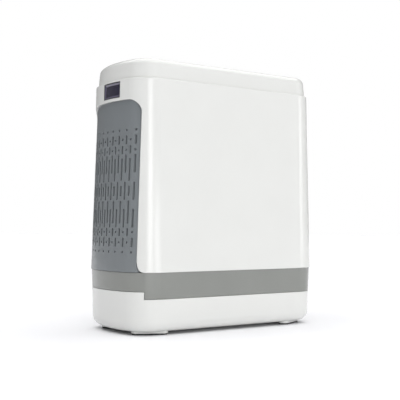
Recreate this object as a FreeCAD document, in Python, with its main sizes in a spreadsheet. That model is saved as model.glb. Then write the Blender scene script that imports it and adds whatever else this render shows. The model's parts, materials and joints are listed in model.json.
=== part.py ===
"""Portable oxygen concentrator: white housing with slotted ends, grey band and slide-out battery base.

+Z is up and +Y is the rear.  -X is the end with the display and the air intake.  The origin is on the
floor, under the centre of the body.  Lengths are in millimetres and angles in degrees.
"""
import FreeCAD
import Part
import math
import os
import re
import Sketcher
from FreeCAD import Vector

doc = FreeCAD.newDocument("OxygenConcentrator")
sheet = doc.addObject("Spreadsheet::Sheet", "Dims")

DIMENSIONS = {
    # outline of the body at its widest level
    "half_length": 103.4,
    "half_depth": 48.0,
    "end_radius": 98.4,
    "corner_radius": 25.9,
    "shell_draft": 1.22,
    "base_draft": 1.98,
    "wall": 2.4,
    # levels, from the floor up
    "foot_height": 1.2,
    "base_bottom": 2.8,
    "battery_top": 29.9,
    "band_bottom": 30.2,
    "tongue_top": 36.0,
    "deck_bottom": 36.4,
    "deck_top": 39.4,
    "plate_top": 42.0,
    "shell_bottom": 51.8,
    "grille_top": 193.9,
    "window_bottom": 196.3,
    "window_top": 210.0,
    "shell_top": 211.4,
    "cap_top": 228.6,
    # cutting blocks that reach past the body
    "beyond": 130.0,
    "end_start": 60.0,
    "over": 1.0,
    # housing
    "housing_rim_radius": 0.7,
    "housing_foot_radius": 0.5,
    "cutout_half_width": 39.4,
    "cutout_corner_radius": 10.8,
    "relief_drop": 9.0,
    "relief_run": 4.6,
    "window_left": -18.7,
    "window_right": 6.7,
    "screw_x": 70.0,
    "screw_y": 37.0,
    "boss_radius": 4.0,
    "boss_height": 30.0,
    "boss_bore": 1.6,
    "boss_bore_depth": 16.0,
    "web_height": 26.0,
    "web_half": 1.0,
    # top cap
    "cap_inset": 2.0,
    "cap_draft": 5.0,
    "cap_edge_radius": 6.0,
    "cap_lip_depth": 4.4,
    "cap_roof": 3.4,
    "cap_shoulder": 12.0,
    "cap_side": 6.0,
    "seam": 0.25,
    # control panel
    "panel_middle": -18.0,
    "panel_half": 42.0,
    "panel_radius": 13.0,
    "panel_recess": 1.0,
    "panel_sunk": 0.2,
    "button_radius": 6.0,
    "button_height": 5.6,
    "button_rise": 0.6,
    "button_spacing": 20.0,
    "button_clearance": 0.3,
    "button_edge": 0.6,
    "lamp_radius": 0.9,
    "lamp_pitch": 5.0,
    "lamp_middle": 26.0,
    "switch_gap": 1.0,
    "switch_height": 3.0,
    "switch_radius": 3.0,
    "control_board_half": 49.0,
    "control_board_side": 20.0,
    "board_thickness": 1.6,
    # oxygen outlet
    "outlet_x": 74.0,
    "cup_radius": 12.0,
    "cup_wall": 1.8,
    "cup_depth": 12.2,
    "stem_hole": 4.0,
    "stem_radius": 3.8,
    "stem_bottom": 20.0,
    "flange_radius": 6.5,
    "flange_height": 1.4,
    "nozzle_radius": 2.75,
    "nozzle_bore": 1.5,
    "nozzle_length": 12.0,
    # display
    "bezel_rim": 0.9,
    "bezel_inset": 0.3,
    "lens_inset": 1.2,
    "display_back_inset": 2.35,
    "screen_front": -94.6,
    "display_board_front": -91.5,
    "display_board_back": -89.9,
    "screen_margin": 3.0,
    "screen_drop": 4.0,
    "board_drop": 0.5,
    # grilles and filter
    "grille_thickness": 2.4,
    "grille_inset": 0.1,
    "grille_draft": 1.9,
    "slot_width": 2.0,
    "slot_pitch": 4.35,
    "slot_middle": 118.5,
    "foam_thickness": 3.5,
    "foam_half": 37.0,
    "foam_bottom": 66.0,
    "foam_top": 171.0,
    # grey band
    "band_inset": 0.67,
    "band_notch": -87.4,
    "skirt_inner": 40.0,
    "tongue_half_width": 39.6,
    "tongue_end": 84.0,
    "slide_gap": 0.3,
    "rail_depth": 2.2,
    "rail_bottom": 31.8,
    "rail_height": 1.6,
    "groove_middle": 38.5,
    "groove_half": 1.3,
    "post_bore": 1.8,
    "screw_shank": 1.55,
    "screw_head": 1.75,
    "screw_reach": 12.0,
    "head_sunk": 0.4,
    "inlet_x": 8.0,
    "inlet_z": 45.6,
    "inlet_seat": 5.2,
    "inlet_radius": 5.1,
    "inlet_socket": 2.75,
    "inlet_pin": 0.8,
    "inlet_back": 33.0,
    "inlet_room": 3.0,
    "inlet_floor": 36.0,
    "inlet_face": 46.6,
    "release_x": 48.0,
    "release_z": 45.5,
    "release_half_width": 7.0,
    "release_half_height": 3.5,
    "release_back": 44.2,
    "release_face": 46.5,
    "release_stem_half": 2.0,
    "release_stem_end": 40.0,
    "release_gap": 0.3,
    "connector_x": 74.0,
    "connector_half_length": 7.8,
    "connector_half_width": 11.8,
    "connector_gap": 0.2,
    "connector_rise": 3.0,
    "blade_pitch": 8.0,
    "blade_half": 2.0,
    "blade_thickness": 1.0,
    "blade_height": 4.0,
    # battery base
    "base_edge_radius": 9.0,
    "case_side": 2.8,
    "case_floor": 3.0,
    "well_side": 8.4,
    "well_top": 9.5,
    "plug_gap": 0.1,
    "plug_depth": 2.5,
    "end_wall_rise": 0.21,
    "lid_room_half": 33.0,
    "lid_room_left": -81.4,
    "lid_room_right": 80.0,
    "lid_roof": 2.0,
    "foot_length": 30.0,
    "foot_width": 9.0,
    "foot_turn": 25.7,
    "foot_centre_x": 75.0,
    "foot_centre_y": 30.3,
    "pedestal_rim": 0.4,
    "cell_radius": 9.2,
    "cell_length": 65.0,
    "cell_gap": 0.4,
    "left_cells": -78.5,
    "right_cells": -13.1,
    "battery_board_left": 53.0,
    "battery_board_right": 84.0,
    "battery_board_half": 24.0,
    "battery_board_level": 20.0,
    "leg_half": 2.0,
    "leg_inset": 3.0,
    # chassis
    "chassis_half_length": 93.0,
    "chassis_half_width": 32.0,
    "opening_half_length": 9.0,
    "opening_half_width": 13.0,
    "bulkhead_half": 38.0,
    "bulkhead_thickness": 2.0,
    "bulkhead_x": 24.0,
    "divider_half": 0.5,
    "bulkhead_bottom": 98.0,
    "bulkhead_top": 205.0,
    "shelf_bottom": 166.0,
    "shelf_top": 168.0,
    "leg_width": 8.0,
    "wire_hole_radius": 5.0,
    "wire_hole_y": 30.0,
    "wire_hole_z": 150.0,
    # compressor
    "crank_z": 74.0,
    "crank_throw": 3.0,
    "shaft_radius": 3.0,
    "shaft_clearance": 0.04,
    "case_left": -53.0,
    "case_right": -19.0,
    "case_half": 20.0,
    "case_space_half": 17.0,
    "case_wall": 5.0,
    "bearing_radius": 8.0,
    "bearing_length": 3.5,
    "cylinder_front_x": -40.0,
    "cylinder_rear_x": -32.0,
    "cylinder_reach": 33.0,
    "cylinder_radius": 13.0,
    "bore_radius": 9.0,
    "bore_start": 22.0,
    "head_thickness": 6.0,
    "head_half": 13.0,
    "piston_clearance": 0.06,
    "crown_start": 24.5,
    "crown_end": 29.0,
    "rod_half": 1.6,
    "rod_start": 10.5,
    "rod_half_height": 3.0,
    "eye_outer": 12.2,
    "eye_inner": 9.6,
    "crank_web_radius": 7.5,
    "crank_web": 2.5,
    "web_overlap": 0.5,
    "pin_left": -44.0,
    "pin_right": -28.0,
    "can_radius": 22.0,
    "can_wall": 1.5,
    "can_right": 22.0,
    "can_end": 5.0,
    "stator_inner": 15.0,
    "stator_gap": 3.0,
    "air_gap": 0.8,
    "mount_radius": 5.0,
    "mount_x": 11.0,
    "mount_y": 14.0,
    # fan
    "fan_left": -88.5,
    "fan_depth": 15.0,
    "fan_half": 30.0,
    "fan_z": 104.0,
    "fan_bore": 28.0,
    "fan_hub": 11.0,
    "fan_hub_front": 1.5,
    "fan_hub_back": 3.0,
    "fan_pin": 1.5,
    "fan_pin_hole": 1.55,
    "fan_strut_half": 2.0,
    "fan_strut_depth": 2.0,
    "fan_strut_root": 0.5,
    "blade_length": 17.0,
    "blade_chord": 13.0,
    "blade_web": 1.2,
    "blade_root": 9.5,
    "blade_angle": 50.0,
    "blade_tip_gap": 0.8,
    "blade_middle": 6.8,
    # cooling coil
    "coil_tube_radius": 2.5,
    "coil_z": 108.0,
    "coil_pitch": 13.0,
    "coil_left": -44.0,
    "coil_right": 8.0,
    # sieve beds
    "bed_x": 42.0,
    "bed_y": 19.5,
    "bed_radius": 17.0,
    "bed_wall": 1.5,
    "bed_bottom": 50.0,
    "bed_top": 160.0,
    "bed_plug": 4.0,
    "bed_block_half_length": 16.0,
    "bed_block_half_width": 36.0,
    "bed_cap_height": 8.0,
    # product tank and outlet column
    "tank_radius": 14.0,
    "tank_wall": 1.5,
    "tank_floor": 2.0,
    "tank_bottom": 47.4,
    "tank_top": 140.0,
    "regulator_radius": 8.0,
    "regulator_top": 156.0,
    "dome_radius": 11.0,
    "dome_bottom": 144.0,
    "dome_top": 151.0,
    "sensor_half_length": 11.0,
    "sensor_half_width": 9.0,
    "sensor_top": 176.0,
    "pulse_half_length": 10.0,
    "pulse_half_width": 8.0,
    "pulse_top": 190.0,
    "pulse_coil_z": 183.0,
    "pulse_coil_radius": 6.0,
    "pulse_coil_end": 24.0,
    "outlet_tube_radius": 6.0,
    "outlet_tube_bore": 4.0,
    "outlet_tube_stop": 15.0,
    # valve manifold
    "manifold_left": -44.0,
    "manifold_right": 12.0,
    "manifold_half": 22.0,
    "manifold_bottom": 140.0,
    "manifold_top": 154.0,
    "arm_half": 10.0,
    "arm_inset": 2.0,
    "solenoid_radius": 5.5,
    "solenoid_pitch": 13.0,
    "solenoid_left": -35.0,
    "intake_x": -58.0,
    "intake_y": -20.0,
    "intake_radius": 12.0,
    "intake_bottom": 112.0,
    "spigot_radius": 4.0,
    "spigot_length": 8.0,
    # main board
    "main_board_left": -60.0,
    "main_board_right": 20.0,
    "main_board_front": 36.4,
    "main_board_back": 38.0,
    "main_board_bottom": 104.0,
    "main_board_top": 160.0,
    "chip_left": -30.0,
    "chip_right": -16.0,
    "chip_front": 34.8,
    "chip_bottom": 126.0,
    "chip_top": 140.0,
    "choke_right": 10.0,
    "choke_front": 28.4,
    "choke_bottom": 114.0,
    "choke_top": 124.0,
    "capacitor_radius": 3.5,
    "capacitor_x": -50.0,
    "capacitor_pitch": 9.0,
    "capacitor_z": 114.0,
    "capacitor_front": 26.0,
    "lug_front": 34.5,
    "lug_width": 4.0,
    "buzzer_x": -10.0,
    "buzzer_y": 15.0,
    "buzzer_radius": 6.0,
    "buzzer_height": 7.0,
}
for row, (alias, number) in enumerate(DIMENSIONS.items(), start=1):
    sheet.set(f"A{row}", alias)
    sheet.set(f"B{row}", str(number))
    sheet.setAlias(f"B{row}", alias)
doc.recompute()

WORD = re.compile(r"[a-z_]+")
QUARTERS = {"front_left": (-1, -1), "front_right": (1, -1), "rear_left": (-1, 1), "rear_right": (1, 1)}
SIDES = {"front": -1, "rear": 1}


def sized(expression):
    """The same expression, with each dimension's name pointed at the sheet."""
    def point(match):
        return "Dims." + match.group() if match.group() in DIMENSIONS else match.group()
    return WORD.sub(point, str(expression))


SHIFT = 1000
scratch = doc.addObject("Part::Box", "Scratch")


def value(expression):
    """The number that an expression in the sheet's names comes to; the shift keeps the length above zero."""
    scratch.setExpression("Length", sized(f"({expression}) + {SHIFT}"))
    scratch.recompute()
    return scratch.Length.Value - SHIFT


def bind(thing, prop, expression):
    thing.setExpression(prop, sized(expression))


def place(thing, x, y, z):
    for axis, expression in zip("xyz", (x, y, z)):
        bind(thing, f"Placement.Base.{axis}", expression)


def about(middle, half):
    """The two ends of a span, from its middle and half its length."""
    return f"({middle}) - ({half})", f"({middle}) + ({half})"


def block(label, x, y, z):
    """A box between two expressions along each axis."""
    box = doc.addObject("Part::Box", label)
    for prop, (low, high) in zip(("Length", "Width", "Height"), (x, y, z)):
        bind(box, prop, f"({high}) - ({low})")
    place(box, x[0], y[0], z[0])
    return box


TURNS = {
    "x": FreeCAD.Rotation(Vector(0, 1, 0), 90),
    "y": FreeCAD.Rotation(Vector(1, 0, 0), -90),
    "z": FreeCAD.Rotation(),
}


def rod(label, axis, centre, radius, low, high):
    """A cylinder along an axis; centre holds its two other coordinates in X, Y, Z order."""
    cylinder = doc.addObject("Part::Cylinder", label)
    bind(cylinder, "Radius", radius)
    bind(cylinder, "Height", f"({high}) - ({low})")
    cylinder.Placement = FreeCAD.Placement(Vector(), TURNS[axis])
    spots = list(centre)
    spots.insert("xyz".index(axis), low)
    place(cylinder, *spots)
    return cylinder


def fuse(label, *things):
    joined = doc.addObject("Part::MultiFuse", label)
    joined.Shapes = list(things)
    return joined


def cut(label, base, *tools):
    removed = doc.addObject("Part::Cut", label)
    removed.Base = base
    removed.Tool = tools[0] if len(tools) == 1 else fuse(label + "_tools", *tools)
    return removed


def common(label, base, tool):
    kept = doc.addObject("Part::Common", label)
    kept.Base = base
    kept.Tool = tool
    return kept


def group(label, *things):
    """Separate solids that share one name."""
    together = doc.addObject("Part::Compound", label)
    together.Links = list(things)
    return together


def ring(label, axis, centre, outer, inner, low, high):
    return cut(label, rod(label + "_outside", axis, centre, outer, low, high),
               rod(label + "_inside", axis, centre, inner, low, high))


# --- bodies built on the outline --------------------------------------------------------------------

def new_body(label):
    return doc.addObject("PartDesign::Body", label)


def new_sketch(body, name, plane="XY_Plane", offset="0"):
    """A sketch on one of the body's own origin planes, moved along the plane's normal."""
    sketch = body.newObject("Sketcher::SketchObject", name)
    support = [item for item in body.Origin.OriginFeatures if item.Role == plane][0]
    sketch.AttachmentSupport = (support, [""])
    sketch.MapMode = "FlatFace"
    bind(sketch, "AttachmentOffset.Base.z", offset)
    return sketch


def circle(centre, radius):
    return Part.Circle(Vector(*centre, 0), Vector(0, 0, 1), radius)


def arc(centre, radius, start, end):
    return Part.ArcOfCircle(circle(centre, radius), start, end)


def line(start, end):
    return Part.LineSegment(Vector(*start, 0), Vector(*end, 0))


def outline(body, name, level, inset):
    """The body's outline, shrunk by inset: bowed ends, flat front and rear, round corners."""
    sketch = new_sketch(body, name, offset=level)
    half_length = value(f"half_length - ({inset})")
    half_depth = value(f"half_depth - ({inset})")
    end = value(f"end_radius - ({inset})")
    corner = value(f"corner_radius - ({inset})")
    end_x = half_length - end
    corner_y = half_depth - corner
    corner_x = end_x + math.sqrt((end - corner) ** 2 - corner_y ** 2)
    meet = math.atan2(corner_y, corner_x - end_x)
    half, full = math.pi / 2, math.pi
    sketch.addGeometry([
        arc((end_x, 0), end, -meet, meet),
        arc((corner_x, corner_y), corner, meet, half),
        line((corner_x, half_depth), (-corner_x, half_depth)),
        arc((-corner_x, corner_y), corner, half, full - meet),
        arc((-end_x, 0), end, full - meet, full + meet),
        arc((-corner_x, -corner_y), corner, full + meet, full + half),
        line((-corner_x, -half_depth), (corner_x, -half_depth)),
        arc((corner_x, -corner_y), corner, -half, -meet),
    ], False)
    edges = sketch.GeometryCount
    for edge in range(edges):
        sketch.addConstraint(Sketcher.Constraint("Tangent", edge, 2, (edge + 1) % edges, 1))
    bound = []
    for edge, side in ((0, 1), (4, -1)):
        sketch.addConstraint(Sketcher.Constraint("PointOnObject", edge, 3, -1))
        distance = Sketcher.Constraint("DistanceX", -1, 1, edge, 3, side * end_x)
        bound.append((sketch.addConstraint(distance), f"{side} * (half_length - end_radius)"))
        radius = Sketcher.Constraint("Radius", edge, end)
        bound.append((sketch.addConstraint(radius), f"end_radius - ({inset})"))
    for edge in (1, 3, 5, 7):
        radius = Sketcher.Constraint("Radius", edge, corner)
        bound.append((sketch.addConstraint(radius), f"corner_radius - ({inset})"))
    for edge, side in ((2, 1), (6, -1)):
        sketch.addConstraint(Sketcher.Constraint("Horizontal", edge))
        distance = Sketcher.Constraint("DistanceY", -1, 1, edge, 1, side * half_depth)
        bound.append((sketch.addConstraint(distance), f"{side} * (half_depth - ({inset}))"))
    for number, expression in bound:
        bind(sketch, f"Constraints[{number}]", expression)
    return sketch


def pad(body, name, sketch, length, down=False, draft="0"):
    feature = body.newObject("PartDesign::Pad", name)
    feature.Profile = sketch
    feature.Reversed = down
    bind(feature, "Length", length)
    bind(feature, "TaperAngle", f"0 - {draft}")
    return feature


def prism(label, inset, low, high, draft="0"):
    """A solid on the outline between two levels, narrowing upward by the draft."""
    body = new_body(label)
    sketch = outline(body, label + "_outline", low, inset)
    pad(body, label + "_pad", sketch, f"({high}) - ({low})", draft=draft)
    return body


def prism_down(label, inset, high, low, draft):
    """A solid on the outline between two levels, narrowing downward by the draft."""
    body = new_body(label)
    sketch = outline(body, label + "_outline", high, inset)
    pad(body, label + "_pad", sketch, f"({high}) - ({low})", down=True, draft=draft)
    return body


def edge_round(body, name, base, radius, level):
    """Round every edge of a feature that lies flat at one level."""
    doc.recompute()
    height = value(level)
    edges = [f"Edge{number}" for number, edge in enumerate(base.Shape.Edges, start=1)
             if abs(edge.BoundBox.ZMin - height) < 0.01 and abs(edge.BoundBox.ZMax - height) < 0.01]
    feature = body.newObject("PartDesign::Fillet", name)
    feature.Base = (base, edges)
    bind(feature, "Radius", radius)
    return feature


# --- casing -----------------------------------------------------------------------------------------

EVERY_X = ("0 - beyond", "beyond")
LEFT_END = ("0 - beyond", "0 - end_start")
RIGHT_END = ("end_start", "beyond")
EVERY_Y = ("0 - end_start", "end_start")
TOP_INSET = "(shell_top - shell_bottom) * tan(shell_draft)"
BASE_INSET = "band_inset + (shell_bottom - battery_top) * tan(base_draft)"


def end_sketch(body):
    """A sketch looking along X, from beyond the left end."""
    return new_sketch(body, body.Name + "_sketch", "YZ_Plane", EVERY_X[0])


def through(body, sketch):
    return pad(body, body.Name + "_pad", sketch, "2 * beyond")


def end_opening(label, grow, low):
    """The opening in both ends, cut right along X, with round upper corners."""
    half_width = value(f"cutout_half_width + ({grow})")
    radius = value(f"cutout_corner_radius + ({grow})")
    top = value(f"grille_top + ({grow})")
    bottom = value(low)
    body = new_body(label)
    sketch = end_sketch(body)
    half, full = math.pi / 2, math.pi
    sketch.addGeometry([
        line((-half_width, bottom), (half_width, bottom)),
        line((half_width, bottom), (half_width, top - radius)),
        arc((half_width - radius, top - radius), radius, 0, half),
        line((half_width - radius, top), (radius - half_width, top)),
        arc((radius - half_width, top - radius), radius, half, full),
        line((-half_width, top - radius), (-half_width, bottom)),
    ], False)
    through(body, sketch)
    return body


# how far the flared corner has run, and how high it still is, as shares of the whole corner
FLARE = ((0, 1), (0.14, 0.5), (0.45, 0.14), (1, 0))


def shell_corner_relief():
    """Rounds the shell's lower corners beside the end openings."""
    drop, run, over = value("relief_drop"), value("relief_run"), value("over")
    half_width = value("cutout_half_width")
    bottom = value("shell_bottom")
    body = new_body("corner_relief")
    sketch = end_sketch(body)
    for side in (-1, 1):
        corner = Part.BSplineCurve()
        corner.interpolate([Vector(side * (half_width + run * out), bottom + drop * up, 0)
                            for out, up in FLARE])
        loop = [(side * (half_width + run), bottom),
                (side * (half_width + run), bottom - over),
                (side * (half_width - over), bottom - over),
                (side * (half_width - over), bottom + drop),
                (side * half_width, bottom + drop)]
        sketch.addGeometry([corner] + [line(start, end) for start, end in zip(loop, loop[1:])], False)
    through(body, sketch)
    return body


def display_region(label, grow):
    return block(label, LEFT_END, (f"window_left - ({grow})", f"window_right + ({grow})"),
                 (f"window_bottom - ({grow})", f"window_top + ({grow})"))


def screw_place(sides):
    return f"{sides[0]} * screw_x", f"{sides[1]} * screw_y"


def make_main_housing():
    outer = new_body("housing_outer")
    sketch = outline(outer, "housing_outline", "shell_bottom", "0")
    solid = pad(outer, "housing_pad", sketch, "shell_top - shell_bottom", draft="shell_draft")
    rim = edge_round(outer, "housing_rim", solid, "housing_rim_radius", "shell_top")
    edge_round(outer, "housing_foot", rim, "housing_foot_radius", "shell_bottom")
    cavity = prism("housing_cavity", "wall", "shell_bottom", "shell_top", "shell_draft")
    shell = cut("housing_shell", outer, cavity)
    fitted = cut("housing_open", shell, end_opening("end_openings", "0", "shell_bottom - over"),
                 shell_corner_relief(), display_region("display_opening", "0"))
    blanks, holes = [], []
    for name, sides in QUARTERS.items():
        x, y = screw_place(sides)
        wall_side = sorted((y, f"{sides[1]} * (half_depth - wall + over)"), key=value)
        blanks.append(rod(f"boss_{name}", "z", (x, y), "boss_radius", "shell_bottom",
                          "shell_bottom + boss_height"))
        blanks.append(block(f"boss_web_{name}", about(x, "web_half"), wall_side,
                            ("shell_bottom", "shell_bottom + web_height")))
        holes.append(rod(f"boss_hole_{name}", "z", (x, y), "boss_bore", "shell_bottom - over",
                         "shell_bottom + boss_bore_depth"))
    return fuse("main_housing", fitted, cut("boss_posts", fuse("boss_blanks", *blanks), *holes))


def make_top_cap():
    body = new_body("cap_body")
    inset = f"{TOP_INSET} + cap_inset"
    solid = pad(body, "cap_pad", outline(body, "cap_outline", "shell_top", inset), "cap_top - shell_top",
                draft="cap_draft")
    edge_round(body, "cap_crown", solid, "cap_edge_radius", "cap_top")
    lip_bottom = "shell_top - cap_lip_depth"
    lip = prism("cap_lip", f"{TOP_INSET} + wall + seam", lip_bottom, "shell_top + over")
    lower = prism("cap_lower_hollow", f"{inset} + wall", lip_bottom, "cap_top - cap_shoulder")
    upper = prism("cap_upper_hollow", f"{inset} + cap_side", "cap_top - cap_shoulder - over",
                  "cap_top - cap_roof")
    centre = ("outlet_x", "0")
    cup = rod("outlet_cup", "z", centre, "cup_radius", "cap_top - cup_depth - cup_wall",
              "cap_top - panel_recess")
    cup_room = rod("outlet_cup_room", "z", centre, "cup_radius - cup_wall", "cap_top - cup_depth",
                   "cap_top + over")
    stem = rod("outlet_stem_hole", "z", centre, "stem_hole", "cap_top - cup_depth - cup_wall - over",
               "cap_top - cup_depth + over")
    recess = panel_shape("panel_recess_shape", "0", "cap_top - panel_recess", "cap_top + over")
    shell = cut("cap_shell", fuse("cap_blank", body, lip), lower, upper, recess,
                *button_holes("cap_button_hole"))
    return cut("top_cap", fuse("cap_with_cup", shell, cup), cup_room, stem)


BUTTONS = ("power_button", "flow_up_button", "flow_down_button", "mute_button")
BUTTON_TOP = "cap_top + button_rise"
BUTTON_FOOT = "cap_top + button_rise - button_height"


def button_x(number):
    return f"panel_middle + ({number} - {(len(BUTTONS) - 1) / 2}) * button_spacing"


def button_holes(label):
    return [rod(f"{label}_{number}", "z", (button_x(number), "0"), "button_radius + button_clearance",
                "cap_top - cap_roof - over", "cap_top + over") for number in range(len(BUTTONS))]


def panel_shape(label, grow, low, high):
    """The slab of the control panel, with round ends."""
    radius = f"panel_radius + ({grow})"
    ends = [rod(f"{label}_end_{side}", "z", (f"panel_middle + {side} * panel_half", "0"), radius, low, high)
            for side in (-1, 1)]
    middle = block(f"{label}_middle", about("panel_middle", "panel_half"), about("0", radius), (low, high))
    return fuse(label, middle, *ends)


def make_button(number, label):
    body = new_body(label)
    sketch = new_sketch(body, label + "_sketch", offset=BUTTON_FOOT)
    radius = value("button_radius")
    sketch.addGeometry(circle((value(button_x(number)), 0), radius), False)
    limit = sketch.addConstraint(Sketcher.Constraint("Radius", 0, radius))
    bind(sketch, f"Constraints[{limit}]", "button_radius")
    cap = pad(body, label + "_pad", sketch, "button_height")
    edge_round(body, label + "_edge", cap, "button_edge", BUTTON_TOP)
    return body


def make_control_board():
    """The board under the buttons: a switch below each, and four posts up to the cap's roof."""
    switch_top = f"{BUTTON_FOOT} - switch_gap"
    top = f"{switch_top} - switch_height"
    centre, half, side = "panel_middle", "control_board_half", "control_board_side"
    plate = block("control_board_plate", about(centre, half), about("0", side),
                  (f"{top} - board_thickness", top))
    switches = [rod(f"switch_{number}", "z", (button_x(number), "0"), "switch_radius", top, switch_top)
                for number in range(len(BUTTONS))]
    posts = [block(f"board_post_{name}", about(f"{centre} + {x} * ({half} - leg_inset)", "leg_half"),
                   about(f"{y} * ({side} - leg_inset)", "leg_half"), (top, "cap_top - cap_roof"))
             for name, (x, y) in QUARTERS.items()]
    return fuse("control_board", plate, *switches, *posts)


def make_controls():
    panel = panel_shape("panel_slab", "0 - seam", "cap_top - panel_recess", "cap_top - panel_sunk")
    lamps = [rod(f"lamp_hole_{number}", "z", (f"lamp_middle + {number} * lamp_pitch", "0"), "lamp_radius",
                 "cap_top - cap_roof - over", "cap_top + over") for number in (-1, 0, 1)]
    slab = cut("control_panel", panel, *button_holes("panel_hole"), *lamps)
    buttons = [make_button(number, label) for number, label in enumerate(BUTTONS)]
    return [slab] + buttons + [make_control_board()]


def make_outlet():
    centre = ("outlet_x", "0")
    floor = "cap_top - cup_depth"
    flange = rod("nozzle_flange", "z", centre, "flange_radius", floor, f"{floor} + flange_height")
    stem = rod("nozzle_stem", "z", centre, "stem_radius", "cap_top - stem_bottom", floor)
    spout = rod("nozzle_spout", "z", centre, "nozzle_radius", floor, f"{floor} + nozzle_length")
    bore = rod("nozzle_hole", "z", centre, "nozzle_bore", "cap_top - stem_bottom - over", "cap_top + over")
    return cut("outlet_nozzle", fuse("nozzle_solid", flange, stem, spout), bore)


def make_display():
    def slice_at(label, inset):
        return prism(label, inset, "shell_bottom", "shell_top", "shell_draft")
    frame = cut("bezel_frame", display_region("bezel_block", "0"),
                display_region("bezel_window", "0 - bezel_rim"),
                slice_at("bezel_behind", "display_back_inset"))
    glass = cut("lens_blank", display_region("lens_block", "0 - bezel_rim"),
                slice_at("lens_back", "display_back_inset"))
    board = block("display_board_plate", ("display_board_front", "display_board_back"),
                  ("window_left - screen_margin", "window_right + screen_margin"),
                  ("window_bottom - screen_margin / 2", "window_top - board_drop"))
    screen = block("screen", ("screen_front", "display_board_front"),
                   ("window_left + screen_margin", "window_right - screen_margin"),
                   ("window_bottom + screen_margin", "window_top - screen_drop"))
    return [common("display_bezel", frame, slice_at("bezel_front", "bezel_inset")),
            common("display_lens", glass, slice_at("lens_front", "lens_inset")),
            fuse("display_board", board, screen)]


# Height above the middle and length of each slot in the even and the odd columns; 0 is a round hole.
EVEN_COLUMN = ((0, 15.0), (22.5, 15.5), (33.8, 0), (42.2, 7.8), (50.2, 0))
ODD_COLUMN = ((0, 8.6), (17.5, 19.0), (33.9, 7.0), (42.3, 0))
LAST_COLUMN = 8


def slot_column(column):
    """The slots of one column, alike above and below the middle."""
    upper = ODD_COLUMN if column % 2 else EVEN_COLUMN
    return upper + tuple((-height, length) for height, length in upper[1:])


def slot_cutters():
    """All the slots of an end grille, as one set of prisms along X."""
    body = new_body("grille_slots")
    sketch = end_sketch(body)
    radius, middle = value("slot_width / 2"), value("slot_middle")
    edges = []
    for column in range(-LAST_COLUMN, LAST_COLUMN + 1):
        y = column * value("slot_pitch")
        for height, length in slot_column(column):
            if not length:
                edges.append(circle((y, middle + height), radius))
                continue
            top = middle + height + length / 2 - radius
            bottom = middle + height - length / 2 + radius
            edges += [arc((y, top), radius, 0, math.pi),
                      arc((y, bottom), radius, math.pi, 2 * math.pi),
                      line((y - radius, top), (y - radius, bottom)),
                      line((y + radius, bottom), (y + radius, top))]
    sketch.addGeometry(edges, False)
    through(body, sketch)
    return body


def curved_sheet(label, inset, thickness, high):
    """A sheet that leans in a little more than the wall, so that it is flush below and sunk at its top."""
    face = prism(label + "_face", inset, "shell_bottom", high, "grille_draft")
    back = prism(label + "_back", f"{inset} + {thickness}", "shell_bottom", high, "grille_draft")
    return cut(label + "_sheet", face, back)


def make_grille(label, x, slots):
    sheet_solid = curved_sheet(label, "grille_inset", "grille_thickness", "grille_top + over")
    end = common(label + "_end", sheet_solid, block(label + "_side", x, EVERY_Y, ("0", "shell_top")))
    panel = common(label + "_panel", end, end_opening(label + "_opening", "0 - seam", "shell_bottom + seam"))
    return cut(label, panel, slots)


def make_filter():
    """The washable foam, against the back of the left grille."""
    foam = curved_sheet("foam", "grille_inset + grille_thickness", "foam_thickness", "foam_top + over")
    window = block("foam_window", LEFT_END, about("0", "foam_half"), ("foam_bottom", "foam_top"))
    return common("foam_filter", foam, window)


def make_base_band():
    band = prism_down("band_solid", "band_inset", "shell_bottom", "band_bottom", "base_draft")
    room = prism("band_room", "band_inset + wall", "deck_top", "shell_bottom + over")
    under = ("band_bottom - over", "deck_bottom")
    tunnel = block("band_tunnel", ("0 - beyond", "tongue_end + slide_gap"), about("0", "skirt_inner"), under)
    notch = block("band_notch_room", ("0 - beyond", "band_notch"), EVERY_Y, under)
    additions, holes = [], []
    for side in (-1, 1):
        reach = sorted((f"{side} * skirt_inner", f"{side} * (skirt_inner - rail_depth)"), key=value)
        additions.append(block(f"rail_{side}", ("band_notch + 2 * over", "tongue_end - 2 * over"), reach,
                               ("rail_bottom", "rail_bottom + rail_height")))
    for name, sides in QUARTERS.items():
        centre = screw_place(sides)
        additions.append(rod(f"deck_post_{name}", "z", centre, "boss_radius", "deck_top", "shell_bottom"))
        holes.append(rod(f"post_bore_{name}", "z", centre, "post_bore", "deck_bottom - over",
                         "shell_bottom + over"))
    holes.append(rod("inlet_room", "y", ("inlet_x", "inlet_z"), "inlet_seat", "inlet_back - inlet_room",
                     "end_start"))
    holes.append(block("release_room", about("release_x", "release_half_width + release_gap"),
                       ("release_stem_end", "end_start"),
                       about("release_z", "release_half_height + release_gap")))
    holes.append(block("terminal_room", about("connector_x", "connector_half_length + connector_gap"),
                       about("0", "connector_half_width + connector_gap"),
                       ("deck_bottom - over", "deck_top + over")))
    tray = cut("band_tray", band, room, tunnel, notch)
    return cut("base_band", fuse("band_with_rails", tray, *additions), *holes)


def blades(label, low, high):
    """Three flat contacts in a row across the body."""
    return [block(f"{label}_{number}", about("connector_x", "blade_half"),
                  about(f"{number} * blade_pitch", "blade_thickness / 2"),
                  (low, high)) for number in (-1, 0, 1)]


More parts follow.
